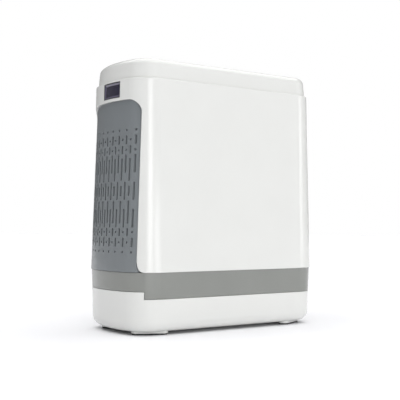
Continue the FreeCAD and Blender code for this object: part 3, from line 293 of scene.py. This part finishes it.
def beads(graph, place):
    cells = graph.add("ShaderNodeTexVoronoi", {"Vector": place, "Scale": 1000 / 1.6}, feature="SMOOTH_F1")
    return cells.outputs["Distance"]


def turned(graph, place):
    inputs = {"Vector": place, "Scale": 900.0, "Distortion": 0.6}
    wave = graph.add("ShaderNodeTexWave", inputs, bands_direction="X")
    return wave.outputs["Fac"]


FINISHES = {
    "white_shell": dict(colour=(0.735, 0.74, 0.72), roughness=0.215, grain=(0.35, 0.006),
                        mottle=0.012, wear=0.25, edge_mm=0.5),
    "grey_plastic": dict(colour=(0.218, 0.226, 0.210), roughness=0.16, grain=(0.3, 0.006),
                         mottle=0.04, wear=0.3, edge_mm=0.35, specular=0.8),
    "panel_dark": dict(colour=(0.035, 0.038, 0.042), roughness=0.42, grain=(0.2, 0.006),
                       mottle=0.08, wear=0.2),
    "button_grey": dict(colour=(0.30, 0.31, 0.31), roughness=0.38, grain=(0.3, 0.008),
                        mottle=0.04, wear=0.5),
    "power_green": dict(colour=(0.02, 0.16, 0.075), roughness=0.34, grain=(0.3, 0.008),
                        mottle=0.05, wear=0.5),
    "nozzle_grey": dict(colour=(0.09, 0.095, 0.10), roughness=0.35, grain=(0.3, 0.006),
                        mottle=0.05, wear=0.4),
    "black_plastic": dict(colour=(0.018, 0.018, 0.02), roughness=0.42, grain=(0.3, 0.01),
                          mottle=0.10, wear=0.3),
    "circuit_board": dict(colour=(0.012, 0.10, 0.045), roughness=0.35, grain=(1.2, 0.02),
                          mottle=0.25, coat=0.4),
    "foam": dict(colour=(0.075, 0.08, 0.082), roughness=0.95, grain=(1.1, 0.5),
                 mottle=0.2, sheen=0.2, height=foam_cells),
    "rubber": dict(colour=(0.016, 0.016, 0.017), roughness=0.72, grain=(0.4, 0.03),
                   mottle=0.2, wear=0.3, specular=0.35),
    "screw_steel": dict(colour=(0.50, 0.50, 0.52), roughness=0.30, grain=(0.2, 0.006),
                        mottle=0.08, metallic=1.0, wear=0.3),
    "cell_wrap": dict(colour=(0.02, 0.10, 0.36), roughness=0.30, grain=(2.0, 0.02),
                      mottle=0.10, coat=0.3),
    "chassis_plastic": dict(colour=(0.52, 0.52, 0.49), roughness=0.5, grain=(0.4, 0.02),
                            mottle=0.05, wear=0.2),
    "aluminium": dict(colour=(0.66, 0.67, 0.69), roughness=0.36, grain=(0.25, 0.01),
                      mottle=0.06, metallic=1.0, wear=0.3),
    "motor_steel": dict(colour=(0.06, 0.062, 0.068), roughness=0.36, grain=(0.5, 0.01),
                        mottle=0.10, coat=0.3, wear=0.4),
    "windings": dict(colour=(0.42, 0.15, 0.05), roughness=0.32, grain=(0.6, 0.2),
                     mottle=0.25, metallic=0.7, height=turned),
    "rotor_steel": dict(colour=(0.14, 0.14, 0.15), roughness=0.45, grain=(0.5, 0.05),
                        mottle=0.15, metallic=0.9, height=turned),
    "piston": dict(colour=(0.55, 0.56, 0.57), roughness=0.40, grain=(0.4, 0.02),
                   mottle=0.08, metallic=1.0, wear=0.3),
    "copper": dict(colour=(0.72, 0.30, 0.16), roughness=0.28, grain=(0.6, 0.01),
                   mottle=0.25, metallic=1.0, wear=0.2),
    "zeolite": dict(colour=(0.62, 0.54, 0.42), roughness=0.85, grain=(1.6, 0.4),
                    mottle=0.15, height=beads),
    "brass": dict(colour=(0.62, 0.44, 0.16), roughness=0.28, grain=(0.3, 0.01),
                  mottle=0.10, metallic=1.0, wear=0.2),
    "silicone": dict(colour=(0.62, 0.62, 0.60), roughness=0.45, grain=(0.8, 0.02),
                     mottle=0.05, specular=0.4),
}
GRILLES = ("left_grille", "right_grille")
GRILLE_FINISH = dict(colour=(0.205, 0.222, 0.232), roughness=0.21, grain=(0.3, 0.008), mottle=0.04, wear=0.3,
                     edge_mm=0.25)


def dress_nodes():
    """Every CAD node takes the material of its slot, and the grilles a bluer grey than the band's."""
    materials = {slot: surface(slot, **finish) for slot, finish in FINISHES.items()}
    materials["display_glass"] = smoked_glass("display_glass", (0.030, 0.026, 0.052))
    materials["display_trim"] = surface("display_trim", (0.12, 0.11, 0.16), 0.22, mottle=0.06, coat=0.5)
    materials["mark_white"] = surface("mark_white", (0.72, 0.73, 0.72), 0.35, mottle=0.03)
    materials["screen_wire"] = surface("screen_wire", (0.20, 0.20, 0.21), 0.38, mottle=0.12, metallic=1.0)
    grille_plastic = surface("grille_plastic", **GRILLE_FINISH)
    for part in frame["record"]["subparts"]:
        node = nodes[part["node"]]
        finish = grille_plastic if part["node"] in GRILLES else materials[part["material_slot"]]
        node.data.materials.clear()
        node.data.materials.append(finish)
    return materials


# --- pieces -----------------------------------------------------------------------------------------------

def add_piece(name, build, material, body="main_unit"):
    """Turn a finished bmesh into a piece that rides on a body."""
    bmesh.ops.recalc_face_normals(build, faces=build.faces)
    mesh = bpy.data.meshes.new(name)
    build.to_mesh(mesh)
    build.free()
    piece = bpy.data.objects.new(name, mesh)
    piece.data.materials.append(material)
    scene.collection.objects.link(piece)
    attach(piece, body)
    return piece


def soften(piece, width_mm, segments=2, angle=35):
    """A small round on every sharp edge, with smooth shading that keeps flat faces flat."""
    bevel = piece.modifiers.new("round", "BEVEL")
    bevel.width = width_mm * MM
    bevel.segments = segments
    bevel.limit_method = "ANGLE"
    bevel.angle_limit = math.radians(angle)
    bevel.harden_normals = True
    for face in piece.data.polygons:
        face.use_smooth = True


def extruded(build, points, low, high):
    """A closed plate from an outline in X and Y, between two heights."""
    bottom = [build.verts.new((x, y, low)) for x, y in points]
    top = [build.verts.new((x, y, high)) for x, y in points]
    build.faces.new(bottom[::-1])
    build.faces.new(top)
    for index in range(len(points)):
        after = (index + 1) % len(points)
        build.faces.new((bottom[index], bottom[after], top[after], top[index]))


def arc_points(centre, radius, start, end, steps):
    """Points along an arc; angles are in degrees."""
    turns = [math.radians(start + (end - start) * step / steps) for step in range(steps + 1)]
    return [(centre[0] + radius * math.cos(turn), centre[1] + radius * math.sin(turn)) for turn in turns]


def band_of_arc(build, centre, radius, width, start, end, low, high, steps=40):
    """A raised stroke along an arc, with square ends."""
    outside = arc_points(centre, radius + width / 2, start, end, steps)
    inside = arc_points(centre, radius - width / 2, end, start, steps)
    extruded(build, outside + inside, low, high)


def bar(build, start, end, width, low, high):
    """A raised straight stroke with round ends."""
    start, end = Vector(start), Vector(end)
    heading = math.degrees(math.atan2(end.y - start.y, end.x - start.x))
    points = arc_points(end, width / 2, heading - 90, heading + 90, 8)
    points += arc_points(start, width / 2, heading + 90, heading + 270, 8)
    extruded(build, points, low, high)


def ring_of_points(build, radius, height, centre, steps):
    """Level points on a circle."""
    turns = [math.tau * step / steps for step in range(steps)]
    return [build.verts.new((centre[0] + radius * math.cos(turn), centre[1] + radius * math.sin(turn),
                             centre[2] + height)) for turn in turns]


def join_loops(build, first, second):
    """A strip of faces between two closed loops with as many points each."""
    for step in range(len(first)):
        after = (step + 1) % len(first)
        build.faces.new((first[step], first[after], second[after], second[step]))


def closed_frame(build, loops):
    """A frame with a hole in the middle: each loop joins the next, and the last joins the first."""
    for number, loop in enumerate(loops):
        join_loops(build, loop, loops[(number + 1) % len(loops)])


def lathe(build, profile, centre, steps):
    """A solid turned from (radius, height) points about an upright axis, with flat ends."""
    rings = [ring_of_points(build, radius, height, centre, steps) for radius, height in profile]
    for below, above in zip(rings, rings[1:]):
        join_loops(build, below, above)
    build.faces.new(rings[0][::-1])
    build.faces.new(rings[-1])


def turned_frame(build, profile, centre, steps=64):
    """A ring whose section is the closed outline of (radius, height) points."""
    rings = [ring_of_points(build, radius, height, centre, steps) for radius, height in profile]
    closed_frame(build, rings)


# --- details on the CAD nodes ---------------------------------------------------------------------------

# Raised details start a little inside the surface that carries them.
SUNK = 0.05 * MM
MARK_HEIGHT = 0.14 * MM
STROKE = 0.7 * MM


def draw_power(build, x, y, low, high):
    """An open circle with an upright stroke in its gap."""
    band_of_arc(build, (x, y), 2.6 * MM, STROKE, 125, 415, low, high)
    bar(build, (x, y + 0.9 * MM), (x, y + 3.2 * MM), STROKE, low, high)


def draw_minus(build, x, y, low, high):
    reach = 2.5 * MM
    bar(build, (x - reach, y), (x + reach, y), STROKE, low, high)


def draw_plus(build, x, y, low, high):
    reach, half = 2.6 * MM, STROKE / 2
    arm = [Vector((half, half)), Vector((reach, half)), Vector((reach, -half))]
    cross = [Matrix.Rotation(-quarter * math.pi / 2, 2) @ corner for quarter in range(4) for corner in arm]
    extruded(build, [(x + point.x, y + point.y) for point in cross[::-1]], low, high)


def draw_muted_bell(build, x, y, low, high):
    """A bell with its clapper, crossed out by a slanted stroke."""
    rim, mouth = 1.9 * MM, y - 1.5 * MM
    dome = arc_points((x, y + 0.4 * MM), 1.35 * MM, 0, 180, 14)
    extruded(build, [(x + rim, mouth)] + dome + [(x - rim, mouth)], low, high)
    extruded(build, arc_points((x, mouth - 0.35 * MM), 0.55 * MM, 180, 360, 10), low, high)
    upper_left = (x - 2.6 * MM, y + 2.5 * MM)
    lower_right = (x + 2.6 * MM, y - 2.7 * MM)
    bar(build, upper_left, lower_right, STROKE * 0.8, low, high + SUNK)


MARKS = {"power": draw_power, "flow_up": draw_plus, "flow_down": draw_minus, "mute": draw_muted_bell}


def add_button_mark(name, middle, top):
    """The raised mark moves with its button."""
    build = bmesh.new()
    MARKS[name](build, middle.x, middle.y, top - SUNK, top + MARK_HEIGHT)
    mark = add_piece(name + "_mark", build, materials["mark_white"], name)
    soften(mark, 0.05, 1)


def add_button_ring(name, middle, button_radius, panel_top):
    """A fine raised ring on the panel, just clear of the button."""
    section = ((0.55, -SUNK), (0.60, 0.12 * MM), (1.25, 0.12 * MM), (1.35, -SUNK))
    profile = [(button_radius + gap * MM, height) for gap, height in section]
    build = bmesh.new()
    turned_frame(build, profile, (middle.x, middle.y, panel_top))
    add_piece(name + "_ring", build, materials["button_grey"])


def add_buttons():
    panel_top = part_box("control_panel")[1].z
    for name in MARKS:
        low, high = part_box(name + "_button")
        middle = (low + high) / 2
        add_button_mark(name, middle, high.z)
        add_button_ring(name, middle, (high.x - low.x) / 2, panel_top)


LAMP_RADIUS_MM = 0.82
LAMP_DOME_MM = 0.35
LAMP_DEPTH_MM = 2.6
LAMPS = (
    # name, place along the panel in millimetres, colour
    ("lamp_ready", 21, (0.05, 0.42, 0.10)),
    ("lamp_low", 26, (0.75, 0.40, 0.04)),
    ("lamp_alarm", 31, (0.62, 0.04, 0.03)),
)


def add_lamps():
    """Three light guides with domed tips in the panel's holes."""
    panel_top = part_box("control_panel")[1].z
    turns = [math.radians(11.25 * step) for step in range(8)]
    dome = [(LAMP_RADIUS_MM * math.cos(turn), LAMP_DOME_MM * math.sin(turn)) for turn in turns]
    profile = [(radius * MM, height * MM) for radius, height in [(LAMP_RADIUS_MM, -LAMP_DEPTH_MM)] + dome]
    for name, x, colour in LAMPS:
        build = bmesh.new()
        lathe(build, profile, (x * MM, 0, panel_top - 0.1 * MM), 32)
        add_piece(name, build, light_guide(name, colour))


def add_panel_trim():
    """A fine raised line round the control panel."""
    low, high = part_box("control_panel")
    half = (high.y - low.y) / 2
    centre = (low.y + high.y) / 2
    section = ((0.5, -SUNK), (0.6, 0.1 * MM), (1.0, 0.1 * MM), (1.1, -SUNK))
    build = bmesh.new()
    loops = []
    for inset, height in section:
        radius = half - inset * MM
        points = arc_points((high.x - half, centre), radius, -90, 90, 24)
        points += arc_points((low.x + half, centre), radius, 90, 270, 24)
        loops.append([build.verts.new((x, y, high.z + height)) for x, y in points])
    closed_frame(build, loops)
    add_piece("panel_trim", build, materials["button_grey"])


BARBS = 3
BARB_PITCH_MM = 2.6
BARB_LENGTH_MM = 1.8


def add_nozzle_barbs():
    """Sloping barbs that grip the cannula's tube."""
    low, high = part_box("outlet_nozzle")
    centre = ((low.x + high.x) / 2, (low.y + high.y) / 2, 0)
    section = ((2.7, 0), (3.15, 1.6), (3.1, BARB_LENGTH_MM), (2.7, BARB_LENGTH_MM))
    build = bmesh.new()
    for step in range(BARBS):
        top = high.z - (1.0 + step * BARB_PITCH_MM) * MM
        turned_frame(build, [(radius * MM, top - drop * MM) for radius, drop in section], centre)
    barbs = add_piece("nozzle_barbs", build, materials["nozzle_grey"])
    soften(barbs, 0.06, 2, 25)


# The end walls, in millimetres: half length, radius of the bow, foot of the shell and its lean.
HALF_LENGTH = 103.4
END_RADIUS = 98.4
SHELL_BOTTOM = 51.8
SHELL_DRAFT = math.tan(math.radians(1.22))


def end_point(y, z, inset, side=-1):
    """A point on the bowed end wall, in metres, from millimetres across, up and into the wall."""
    shrink = inset + (z - SHELL_BOTTOM) * SHELL_DRAFT
    radius = END_RADIUS - shrink
    middle = HALF_LENGTH - END_RADIUS
    return Vector((side * (middle + math.sqrt(radius ** 2 - y ** 2)), y, z)) * MM


def window_loop(build, edge, inset, steps=12):
    """Points round the display, some millimetres inside its bezel and into the end wall."""
    low, high = (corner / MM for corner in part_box("display_bezel"))
    left, right, bottom, top = low.y + edge, high.y - edge, low.z + edge, high.z - edge
    across = [left + (right - left) * step / steps for step in range(steps + 1)]
    corners = [(y, bottom) for y in across] + [(y, top) for y in across[::-1]]
    return [build.verts.new(end_point(y, z, inset)) for y, z in corners]


def add_display_trim():
    """The sloping inner frame between the bezel and the glass."""
    section = ((0.85, 0.45), (2.3, 1.12), (2.3, 1.3), (0.85, 1.3))
    build = bmesh.new()
    closed_frame(build, [window_loop(build, edge, inset) for edge, inset in section])
    trim = add_piece("display_trim", build, materials["display_trim"])
    soften(trim, 0.08, 2, 20)


def strand(build, points, half):
    """A thin wire of four sides through the points."""
    sides = [Vector((half, 0, 0)), Vector((0, half, half)), Vector((-half, 0, 0)), Vector((0, -half, -half))]
    rings = [[build.verts.new(point + side) for side in sides] for point in points]
    for first, second in zip(rings, rings[1:]):
        join_loops(build, first, second)
    build.faces.new(rings[0][::-1])
    build.faces.new(rings[-1])


# The wire screen, in millimetres: it covers the slots of the right grille from behind.
SCREEN_PITCH = 1.8
SCREEN_HALF_WIDTH = 36.0
SCREEN_BOTTOM = 66.0
SCREEN_TOP = 171.0
SCREEN_INSET = 5.6
WIRE_HALF = 0.22


def add_exhaust_screen():
    """Fine wire mesh behind the right grille: upright wires, with level wires against their inner side."""
    build = bmesh.new()
    columns = int(2 * SCREEN_HALF_WIDTH / SCREEN_PITCH) + 1
    rows = int((SCREEN_TOP - SCREEN_BOTTOM) / SCREEN_PITCH) + 1
    across = [-SCREEN_HALF_WIDTH + SCREEN_PITCH * step for step in range(columns)]
    upright = (SCREEN_BOTTOM, (SCREEN_BOTTOM + SCREEN_TOP) / 2, SCREEN_TOP)
    for y in across:
        strand(build, [end_point(y, z, SCREEN_INSET, 1) for z in upright], WIRE_HALF * MM)
    for row in range(rows):
        z = SCREEN_BOTTOM + SCREEN_PITCH * row
        strand(build, [end_point(y, z, SCREEN_INSET + 0.3, 1) for y in across[::4]], WIRE_HALF * MM)
    add_piece("exhaust_screen", build, materials["screen_wire"])


def add_release_ribs():
    """Three grip ribs across the release button."""
    low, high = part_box("release_button")
    rise, half_height, pitch = 0.35 * MM, 0.3 * MM, 1.6 * MM
    left, right = low.x + 2 * MM, high.x - 2 * MM
    taper = 0.4 * MM
    outline = [(left, high.y - SUNK), (right, high.y - SUNK),
               (right - taper, high.y + rise), (left + taper, high.y + rise)]
    build = bmesh.new()
    for step in (-1, 0, 1):
        z = (low.z + high.z) / 2 + step * pitch
        extruded(build, outline, z - half_height, z + half_height)
    ribs = add_piece("release_ribs", build, materials["black_plastic"], "release")
    soften(ribs, 0.12, 2)


def add_details():
    add_buttons()
    add_lamps()
    add_panel_trim()
    add_nozzle_barbs()
    add_display_trim()
    add_exhaust_screen()
    add_release_ribs()



make_camera()
make_studio()
materials = dress_nodes()
add_details()
